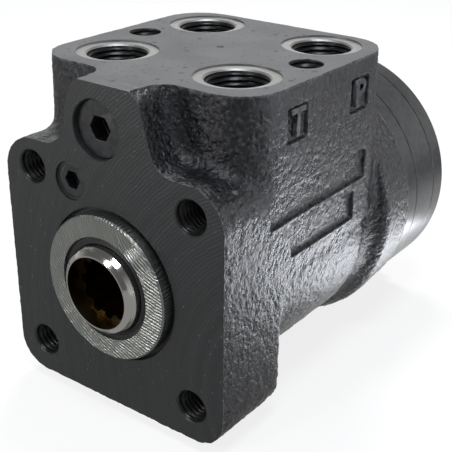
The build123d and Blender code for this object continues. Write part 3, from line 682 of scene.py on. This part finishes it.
def nitrile_rubber():
    finish = Finish("nitrile_rubber", (0.016, 0.016, 0.017), 0.55)
    grain = finish.effect("cast_grain", Grain_size=0.3, Pit_share=0.1)
    finish.tint(grain["Cloud"], (0.012, 0.012, 0.013), (0.022, 0.022, 0.023))
    finish.bump(grain["Height"], 0.02)
    return finish.material


def copper_washer():
    finish = Finish("copper_washer", (0.72, 0.36, 0.2), 0.32, 1.0)
    grain = finish.effect("cast_grain", Grain_size=0.5, Pit_share=0.1)
    finish.tint(grain["Cloud"], (0.5, 0.24, 0.14), (0.78, 0.42, 0.26))
    finish.bump(grain["Height"], 0.02)
    return finish.material


def assign(node_name, material):
    slots = NODES[node_name].data.materials
    slots.clear()
    slots.append(material)


# ---------------------------------------------------------------- housing

def middle_of(node_name):
    low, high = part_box(node_name)
    return (low + high) / 2


def radius_of(node_name):
    """Radius of a round node that lies along the steering axis."""
    low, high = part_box(node_name)
    return (high.x - low.x) / 2


HOUSING_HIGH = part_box("housing")[1]
HOUSING_BACK = HOUSING_HIGH.y
PORT_FACE = HOUSING_HIGH.z
PORTS = [MOUNTS[name] for name in ("port_tank", "port_left", "port_right", "port_pump")]
PORT_RADIUS = PORTS[0]["dims"]["r_mm"] * MM
SPOT_RADIUS = 12.25 * MM
SPOT_DEPTH = 0.6 * MM
PORT_CHAMFER = 0.5 * MM
M10_RADIUS = MOUNTS["flange_bolts"]["dims"]["hole_r_mm"] * MM
M10_CHAMFER = 0.4 * MM
FLANGE_BOLT_RADIUS = MOUNTS["flange_bolts"]["dims"]["pcd_mm"] * MM / 2
FLANGE_HOLE_DEPTH = 20.0 * MM
TOP_HOLE_DEPTH = 15.0 * MM
TOP_HOLES_CENTRE = Vector(MOUNTS["port_face_bolts"]["pos_m"])
TOP_HOLES_HALF = MOUNTS["port_face_bolts"]["dims"]["spacing_x_mm"] * MM / 2
CENTRE_MARK_RADIUS = 1.2 * MM
CENTRE_MARK_DEPTH = 0.8 * MM
GLAND_MOUTH_RADIUS = 23.5 * MM
GLAND_MOUTH_DEPTH = 2.0 * MM
GLAND_GAP = 0.01 * MM
GLAND_RADIUS = radius_of("gland_bushing") + GLAND_GAP
GLAND_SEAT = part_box("rear_thrust_race")[1].y + 0.3 * MM
VALVE_RADIUS = radius_of("sleeve") + 0.06 * MM
SCREW_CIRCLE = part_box("fitted_screw")[1].z - radius_of("fitted_screw")
SCREW_HOLE_RADIUS = 4.02 * MM
SCREW_HOLE_DEPTH = 20.0 * MM
SCREW_COUNT = 7
CHECK_HEAD_GAP = 0.2 * MM
CHECK_CHAMFER = 0.25 * MM
CHECK_HEAD = 2.2 * MM
CHECK_THREAD_RADIUS = 7.0 * MM
CHECK_BORE_RADIUS = 6.0 * MM
BALL_GUIDE_RADIUS = 4.3 * MM
RELIEF_MOUTH = 0.8 * MM
RELIEF_THREAD_REST = 4.0 * MM
RELIEF_BORE_RADIUS = 4.0 * MM
DRILL_POINT_RADIUS = 0.3 * MM
DRILL_POINT_DEPTH = 2.0 * MM
TOP_HOLE_CHAMFER = 0.3 * MM
PASSAGE_RADIUS = 2.4 * MM
PASSAGE_DEPTH = 8.0 * MM
BORE_COLUMNS = 96
SCREW_COLUMNS = 24
MARK_COLUMNS = 16
CASTING_SHARP = math.radians(38)
CAST, FRONT, TOP, BARE, THREAD = range(5)


def flange_holes():
    """Tapped holes on a square round the steering axis."""
    corner = FLANGE_BOLT_RADIUS / math.sqrt(2)
    return [(x, z) for x in (-corner, corner) for z in (-corner, corner)]


def top_holes():
    centre = TOP_HOLES_CENTRE
    return [(centre.x - TOP_HOLES_HALF, centre.y), (centre.x + TOP_HOLES_HALF, centre.y)]


def screw_places():
    """Cover screws, spaced evenly from the top one."""
    angles = [math.radians(90 + 360 / SCREW_COUNT * i) for i in range(SCREW_COUNT)]
    return [(SCREW_CIRCLE * math.cos(turn), SCREW_CIRCLE * math.sin(turn)) for turn in angles]


def casting_blank():
    """The housing with its bores filled and its machined faces left proud."""
    form = bmesh.new()
    form.from_mesh(NODES["housing"].data)
    for point in form.verts:
        if point.co.y < FACE_TOLERANCE:
            point.co.y -= BLANK_ALLOWANCE
        if point.co.y > HOUSING_BACK - FACE_TOLERANCE:
            point.co.y += BLANK_ALLOWANCE
        if point.co.z > PORT_FACE - FACE_TOLERANCE:
            point.co.z += BLANK_ALLOWANCE
    front = -BLANK_ALLOWANCE
    back = HOUSING_BACK + BLANK_ALLOWANCE
    top = PORT_FACE + BLANK_ALLOWANCE
    add_filler(form, "Y", (0, 0, 0), GLAND_MOUTH_RADIUS + FILLER_MARGIN, front, back)
    rim_radius = RIM_FILLER_SHARE * HOUSING_HIGH.x
    add_filler(form, "Y", (0, 0, 0), rim_radius, HOUSING_BACK - RIM_FILLER_DEPTH, back)
    hole_radius = M10_RADIUS + FILLER_MARGIN
    for x, z in flange_holes():
        add_filler(form, "Y", (x, 0, z), hole_radius, front, FLANGE_HOLE_DEPTH + FILLER_MARGIN)
    for name in ("check_plug", "relief_plug"):
        radius = radius_of(name) + PLUG_FILLER_MARGIN
        add_filler(form, "Y", middle_of(name), radius, front, PLUG_FILLER_SHARE * HOUSING_BACK)
    radius = SPOT_RADIUS + PORT_FILLER_MARGIN
    for port in PORTS:
        add_filler(form, "Z", port["pos_m"], radius, PORT_FACE - PORT_FILLER_DEPTH, top)
    radius = M10_RADIUS + PORT_FILLER_MARGIN
    for x, y in top_holes() + [(0.0, TOP_HOLES_CENTRE.y)]:
        add_filler(form, "Z", (x, y, 0), radius, PORT_FACE - TOP_HOLE_FILLER_DEPTH, top)
    mesh = bpy.data.meshes.new("blank")
    form.to_mesh(mesh)
    form.free()
    return mesh


def with_blends(mesh):
    """Inner corners filled with soft blends; outer edges only slightly rounded."""
    smooth = applied(mesh.copy(), ("SMOOTH", {"iterations": BLEND_STEPS, "factor": 0.5}))
    before = points_of(mesh)
    change = points_of(smooth) - before
    lift = (change * normals_of(mesh)).sum(1)
    share = np.where(lift > 0, 1.0, EDGE_ROUNDING)
    set_points(mesh, before + change * share[:, None])
    return applied(mesh, ("SMOOTH", {"iterations": 2, "factor": 0.5}))


# Sunk panels on the right side, in millimetres: low y, high y, low z, high z
PANELS = [
    (28.0, 38.0, 43.0, 53.0),
    (61.0, 71.5, 43.0, 53.5),
    (20.5, 72.0, 20.5, 30.0),
    (31.5, 66.0, 8.5, 18.0),
]
PANEL_DEPTH = 0.95 * MM
PANEL_CORNER = 1.2 * MM
PANEL_SLOPE = 0.45 * MM
PANEL_SIDE = 37.0 * MM
PANEL_FACING = 0.8


def sink_panels(mesh):
    """Rounded rectangles pressed into the right side, the first two for the port letters."""
    points = points_of(mesh)
    on_side = (points[:, 0] > PANEL_SIDE) & (normals_of(mesh)[:, 0] > PANEL_FACING)
    for low_y, high_y, low_z, high_z in PANELS:
        middle = np.array(((low_y + high_y) / 2, (low_z + high_z) / 2)) * MM
        half = np.array(((high_y - low_y) / 2, (high_z - low_z) / 2)) * MM - PANEL_CORNER
        away = np.abs(points[:, 1:] - middle) - half
        outside = np.linalg.norm(np.maximum(away, 0), axis=1)
        inside = np.minimum(away.max(1), 0)
        distance = outside + inside - PANEL_CORNER
        depth = PANEL_DEPTH * (1 - smoothstep(-PANEL_SLOPE, 0, distance))
        points[on_side, 0] -= depth[on_side]
    set_points(mesh, points)
    return mesh


def skin_layer(name, size, strength):
    """Settings of one Displace layer of the cast skin."""
    texture = bpy.data.textures.new(name, "CLOUDS")
    texture.noise_scale = size
    texture.noise_depth = 1
    return {
        "texture": texture,
        "strength": strength,
        "mid_level": SKIN_LEVEL,
        "texture_coords": "LOCAL",
        "direction": "NORMAL",
    }


def with_cast_skin(mesh):
    swell = skin_layer("skin_swell", SKIN_SWELL_SIZE, SKIN_SWELL)
    grain = skin_layer("skin_grain", SKIN_GRAIN_SIZE, SKIN_GRAIN)
    return applied(mesh, ("DISPLACE", swell), ("DISPLACE", grain))


def cut_flat(form, place, normal):
    """Saw the casting off at a plane and close it with one flat face."""
    everything = form.verts[:] + form.edges[:] + form.faces[:]
    found = bmesh.ops.bisect_plane(
        form, geom=everything, plane_co=place, plane_no=normal, clear_outer=True,
    )
    rim = [edge for edge in found["geom_cut"] if isinstance(edge, bmesh.types.BMEdge)]
    bmesh.ops.edgeloop_fill(form, edges=rim)


def circle_on(form, centre, across, up, radius, columns):
    """Ring of new points and edges round a centre, in the plane of two unit vectors."""
    ring = []
    for column in range(columns):
        angle = 2 * math.pi * column / columns
        ray = math.cos(angle) * across + math.sin(angle) * up
        ring.append(form.verts.new(centre + radius * ray))
    edges = [form.edges.new((ring[i], ring[(i + 1) % columns])) for i in range(columns)]
    return ring, edges


def open_face(form, place, normal, circles, material):
    """Replace the flat face at a plane by one with round openings, and give back their rings."""
    flat = [
        face for face in form.faces
        if all(abs((point.co - place).dot(normal)) < ON_PLANE for point in face.verts)
        and abs(face.normal.dot(normal)) > FACING and face.calc_area() > SMALLEST_FACE
    ]
    rim = {
        edge for face in flat for edge in face.edges
        if sum(other in flat for other in edge.link_faces) == 1
    }
    bmesh.ops.delete(form, geom=flat, context="FACES_ONLY")
    across = Vector((1, 0, 0))
    up = normal.cross(across)
    rings = []
    edges = list(rim)
    for centre, radius, columns in circles:
        ring, ring_edges = circle_on(form, centre, across, up, radius, columns)
        rings.append(ring)
        edges += ring_edges
    filled = bmesh.ops.triangle_fill(
        form, use_beauty=True, use_dissolve=False, edges=edges, normal=normal,
    )
    for face in filled["geom"]:
        if isinstance(face, bmesh.types.BMFace):
            face.material_index = material
            if face.normal.dot(normal) < 0:
                face.normal_flip()
    return rings


def bore(form, ring, normal, rows, close=True):
    """Wall from a ring into the metal. Each row is (radius, depth, thread share, material)."""
    columns = len(ring)
    centre = sum((point.co for point in ring), Vector()) / columns
    previous = ring
    for radius, depth, share, material in rows:
        points = []
        for column, point in enumerate(ring):
            ray = (point.co - centre).normalized()
            turn = depth / THREAD_PITCH - column / columns
            ridge = 2 * abs(turn % 1.0 - 0.5)
            reach = radius - THREAD_HEIGHT * share * ridge
            points.append(form.verts.new(centre + reach * ray - depth * normal))
        for column in range(columns):
            after = (column + 1) % columns
            corners = (previous[column], points[column], points[after], previous[after])
            face = form.faces.new(corners)
            face.material_index = material
        previous = points
    if close:
        floor = form.faces.new(previous)
        floor.material_index = rows[-1][3]


def thread_rows(radius, start, end):
    """Rows of a tapped wall, with the thread fading in at both ends."""
    count = round((end - start) / THREAD_PITCH * ROWS_PER_PITCH)
    rows = []
    for i in range(count + 1):
        share = min(1.0, i / ROWS_PER_PITCH, (count - i) / ROWS_PER_PITCH)
        rows.append((radius, start + (end - start) * i / count, share, THREAD))
    return rows


def tap(form, ring, normal, chamfer, depth, material):
    """M10 thread below a chamfer, ending in a drill point."""
    rows = [(M10_RADIUS, chamfer, 0, material)]
    rows += thread_rows(M10_RADIUS, chamfer, depth)
    rows.append((DRILL_POINT_RADIUS, depth + DRILL_POINT_DEPTH, 0, THREAD))
    bore(form, ring, normal, rows)


def machine_front(form):
    """Mounting face with the gland bore, both valve bores and the flange holes."""
    ahead = Vector((0, -1, 0))
    plug_low, plug_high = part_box("check_plug")
    plug, relief = middle_of("check_plug"), middle_of("relief_plug")
    plug_radius = radius_of("check_plug") + CHECK_HEAD_GAP
    relief_radius = radius_of("relief_plug")
    circles = [
        (Vector((0, 0, 0)), GLAND_MOUTH_RADIUS, BORE_COLUMNS),
        (Vector((plug.x, 0, plug.z)), plug_radius + CHECK_CHAMFER, HOLE_COLUMNS),
        (Vector((relief.x, 0, relief.z)), relief_radius + RELIEF_MOUTH, HOLE_COLUMNS),
    ]
    for x, z in flange_holes():
        circles.append((Vector((x, 0, z)), M10_RADIUS + M10_CHAMFER, HOLE_COLUMNS))
    rings = open_face(form, Vector((0, 0, 0)), ahead, circles, FRONT)
    bore(form, rings[0], ahead, [
        (GLAND_MOUTH_RADIUS, GLAND_MOUTH_DEPTH, 0, FRONT),
        (GLAND_RADIUS, GLAND_MOUTH_DEPTH, 0, FRONT),
        (GLAND_RADIUS, GLAND_SEAT, 0, BARE),
        (VALVE_RADIUS, GLAND_SEAT, 0, BARE),
        (VALVE_RADIUS, HOUSING_BACK, 0, BARE),
    ], close=False)
    shoulder = plug_low.y + CHECK_HEAD
    thread_foot = plug_high.y + MM
    seat_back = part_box("check_seat")[1].y
    bore(form, rings[1], ahead, [
        (plug_radius, CHECK_CHAMFER, 0, FRONT),
        (plug_radius, shoulder, 0, FRONT),
        (CHECK_THREAD_RADIUS, shoulder, 0, THREAD),
        (CHECK_THREAD_RADIUS, thread_foot, 0, THREAD),
        (CHECK_BORE_RADIUS, thread_foot, 0, THREAD),
        (CHECK_BORE_RADIUS, seat_back, 0, THREAD),
        (BALL_GUIDE_RADIUS, seat_back, 0, THREAD),
        (BALL_GUIDE_RADIUS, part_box("check_stop_pin")[1].y, 0, THREAD),
    ])
    relief_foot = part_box("relief_plug")[1].y + RELIEF_THREAD_REST
    bore(form, rings[2], ahead, [
        (relief_radius + RELIEF_MOUTH, RELIEF_MOUTH, 0, FRONT),
        (relief_radius, RELIEF_MOUTH, 0, FRONT),
        (relief_radius, relief_foot, 0, THREAD),
        (RELIEF_BORE_RADIUS, relief_foot, 0, THREAD),
        (RELIEF_BORE_RADIUS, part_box("relief_seat")[1].y, 0, THREAD),
    ])
    for ring in rings[3:]:
        tap(form, ring, ahead, M10_CHAMFER, FLANGE_HOLE_DEPTH, FRONT)


def machine_port_face(form):
    """Top face with the four ports, the two tapped holes and the centre mark."""
    up = Vector((0, 0, 1))
    level = Vector((0, 0, PORT_FACE))
    places = [port["pos_m"][:2] for port in PORTS] + top_holes() + [(0, TOP_HOLES_CENTRE.y)]
    sizes = [(SPOT_RADIUS, PORT_COLUMNS)] * len(PORTS) + [(M10_RADIUS, HOLE_COLUMNS)] * 2
    sizes.append((CENTRE_MARK_RADIUS, MARK_COLUMNS))
    circles = [(Vector((*place, PORT_FACE)), *size) for place, size in zip(places, sizes)]
    rings = open_face(form, level, up, circles, TOP)
    for port, ring in zip(PORTS, rings):
        foot = SPOT_DEPTH + port["dims"]["length_mm"] * MM
        rows = [
            (SPOT_RADIUS, SPOT_DEPTH, 0, BARE),
            (PORT_RADIUS + PORT_CHAMFER, SPOT_DEPTH, 0, BARE),
            (PORT_RADIUS, SPOT_DEPTH + PORT_CHAMFER, 0, BARE),
        ]
        rows += thread_rows(PORT_RADIUS, SPOT_DEPTH + PORT_CHAMFER, foot)
        rows.append((PASSAGE_RADIUS, foot, 0, THREAD))
        rows.append((PASSAGE_RADIUS, foot + PASSAGE_DEPTH, 0, THREAD))
        bore(form, ring, up, rows)
    for ring in rings[4:6]:
        tap(form, ring, up, TOP_HOLE_CHAMFER, TOP_HOLE_DEPTH, TOP)
    point_radius = CENTRE_MARK_RADIUS * MARK_POINT_SHARE
    bore(form, rings[6], up, [(point_radius, CENTRE_MARK_DEPTH, 0, TOP)])


def machine_back(form):
    """Rear face with the valve bore and the screw holes."""
    behind = Vector((0, 1, 0))
    level = Vector((0, HOUSING_BACK, 0))
    circles = [(level, VALVE_RADIUS, BORE_COLUMNS)]
    for x, z in screw_places():
        circles.append((level + Vector((x, 0, z)), SCREW_HOLE_RADIUS, SCREW_COLUMNS))
    rings = open_face(form, level, behind, circles, BARE)
    for ring in rings[1:]:
        bore(form, ring, behind, [(SCREW_HOLE_RADIUS, SCREW_HOLE_DEPTH, 0, THREAD)])


def build_housing(*materials):
    """The casting, in place of the plain housing."""
    blank = applied(casting_blank(), ("REMESH", {"mode": "VOXEL", "voxel_size": BLANK_VOXEL}))
    blank = with_blends(blank)
    blank = applied(blank, ("SUBSURF", {"levels": 1, "render_levels": 1}))
    skin = with_cast_skin(sink_panels(blank))
    form = bmesh.new()
    form.from_mesh(skin)
    for face in form.faces:
        face.smooth = True
    cut_flat(form, Vector((0, 0, 0)), Vector((0, -1, 0)))
    cut_flat(form, Vector((0, 0, PORT_FACE)), Vector((0, 0, 1)))
    cut_flat(form, Vector((0, HOUSING_BACK, 0)), Vector((0, 1, 0)))
    machine_front(form)
    machine_port_face(form)
    machine_back(form)
    mesh = bpy.data.meshes.new("housing_casting")
    form.to_mesh(mesh)
    form.free()
    mesh.set_sharp_from_angle(angle=CASTING_SHARP)
    piece = new_piece("housing_casting", mesh, "housing", *materials, slot="cast_iron_black")
    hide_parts("housing")


# Port letters
LETTER_HEIGHT = 7.8 * MM
LETTER_DEPTH = 0.7 * MM
CAPITAL_SHARE = 0.7
LETTER_BOLD = 0.12 * MM
LETTER_BEVEL = 0.15 * MM
LETTER_INSET = 5.0 * MM


def port_letter(character, panel, material):
    """Raised cast letter that says which port is above it."""
    low_y, high_y, low_z, high_z = (value * MM for value in panel)
    text = bpy.data.curves.new("letter", "FONT")
    text.body = character
    text.size = LETTER_HEIGHT / CAPITAL_SHARE
    text.extrude = LETTER_DEPTH
    text.offset = LETTER_BOLD
    text.bevel_depth = LETTER_BEVEL
    text.align_x = "CENTER"
    text.align_y = "CENTER"
    thing = bpy.data.objects.new("letter", text)
    bpy.context.scene.collection.objects.link(thing)
    graph = bpy.context.evaluated_depsgraph_get()
    mesh = bpy.data.meshes.new_from_object(thing.evaluated_get(graph))
    bpy.data.objects.remove(thing)
    centre = Vector((HOUSING_HIGH.x - LETTER_INSET, (low_y + high_y) / 2, (low_z + high_z) / 2))
    turn = Matrix(((0, 0, 1), (1, 0, 0), (0, 1, 0))).to_4x4()
    mesh.transform(Matrix.Translation(centre) @ turn)
    new_piece("port_letter_" + character, mesh, "housing", material, slot="cast_iron_black")


# ---------------------------------------------------------------- turned pieces with broken edges

EDGE_BREAKS = {
    "distributor_plate": 0.30 * MM,
    "gear_ring": 0.35 * MM,
    "end_cover": 0.30 * MM,
    "cover_screws": 0.45 * MM,
    "fitted_screw": 0.45 * MM,
    "screw_washers": 0.12 * MM,
    "check_plug": 0.25 * MM,
    "relief_plug": 0.20 * MM,
}
EDGE_ANGLE = math.radians(35)
TURNED_SHARP = math.radians(28)
FLAT_ANGLE = math.radians(0.5)
WELD_DISTANCE = 0.001 * MM


def break_edges(node_name, material, slot):
    """The same piece with its sharp edges broken, in place of the plain one."""
    form = bmesh.new()
    form.from_mesh(NODES[node_name].data)
    bmesh.ops.remove_doubles(form, verts=form.verts, dist=WELD_DISTANCE)
    bmesh.ops.dissolve_limit(form, angle_limit=FLAT_ANGLE, verts=form.verts, edges=form.edges)
    mesh = bpy.data.meshes.new(node_name + "_finished")
    form.to_mesh(mesh)
    form.free()
    settings = {
        "width": EDGE_BREAKS[node_name],
        "segments": 2,
        "limit_method": "ANGLE",
        "angle_limit": EDGE_ANGLE,
    }
    mesh = applied(mesh, ("BEVEL", settings))
    for face in mesh.polygons:
        face.use_smooth = True
    mesh.set_sharp_from_angle(angle=TURNED_SHARP)
    mesh = applied(mesh, ("WEIGHTED_NORMAL", {"weight": 100, "keep_sharp": True}))
    mesh.name = node_name + "_finished"
    mesh.materials.clear()
    body = NODES[node_name]["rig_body"]
    piece = new_piece(node_name + "_finished", mesh, body, material, slot=slot)
    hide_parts(node_name)


# ---------------------------------------------------------------- the part

set_view()
set_camera()
set_world()
set_floor()
set_lamps()

cast_paint = black_cast_paint()
front_paint = painted_front_face()
port_paint = painted_port_face()
satin_paint = satin_black_paint()
spot_steel = bright_steel(
    "faced_iron", 0.45, 0.03, (0.36, 0.36, 0.35), roughness=0.42,
    centre=(22.35, 28.85, 0.0), across=ROUND_Z,
)
thread_metal = dark_thread()
gland_steel = bright_steel(
    "milled_gland", 1.0, 0.15, (0.42, 0.435, 0.405), roughness=0.34, centre=(24.0, 0.0, 26.0),
)
nose_steel = polished_nose()
ground_steel = bright_steel("ground_steel", 0.4, 0.01, (0.56, 0.55, 0.53))
spring_steel = bright_steel("spring_steel", 0.5, 0.01, (0.3, 0.3, 0.33))
rubber = nitrile_rubber()
copper = copper_washer()

FINISHES = {
    "cast_iron_black": cast_paint,
    "painted_steel": satin_paint,
    "painted_plug": satin_paint,
    "turned_steel": gland_steel,
    "polished_steel": nose_steel,
    "hard_steel": ground_steel,
    "spring_steel": spring_steel,
    "black_screw": satin_paint,
    "copper": copper,
    "rubber": rubber,
}
for part in frame["record"]["subparts"]:
    finish = FINISHES[part["material_slot"]]
    assign(part["node"], finish)
    if part["node"] in EDGE_BREAKS:
        break_edges(part["node"], finish, part["material_slot"])

build_housing(cast_paint, front_paint, port_paint, spot_steel, thread_metal)
port_letter("T", PANELS[0], cast_paint)
port_letter("P", PANELS[1], cast_paint)
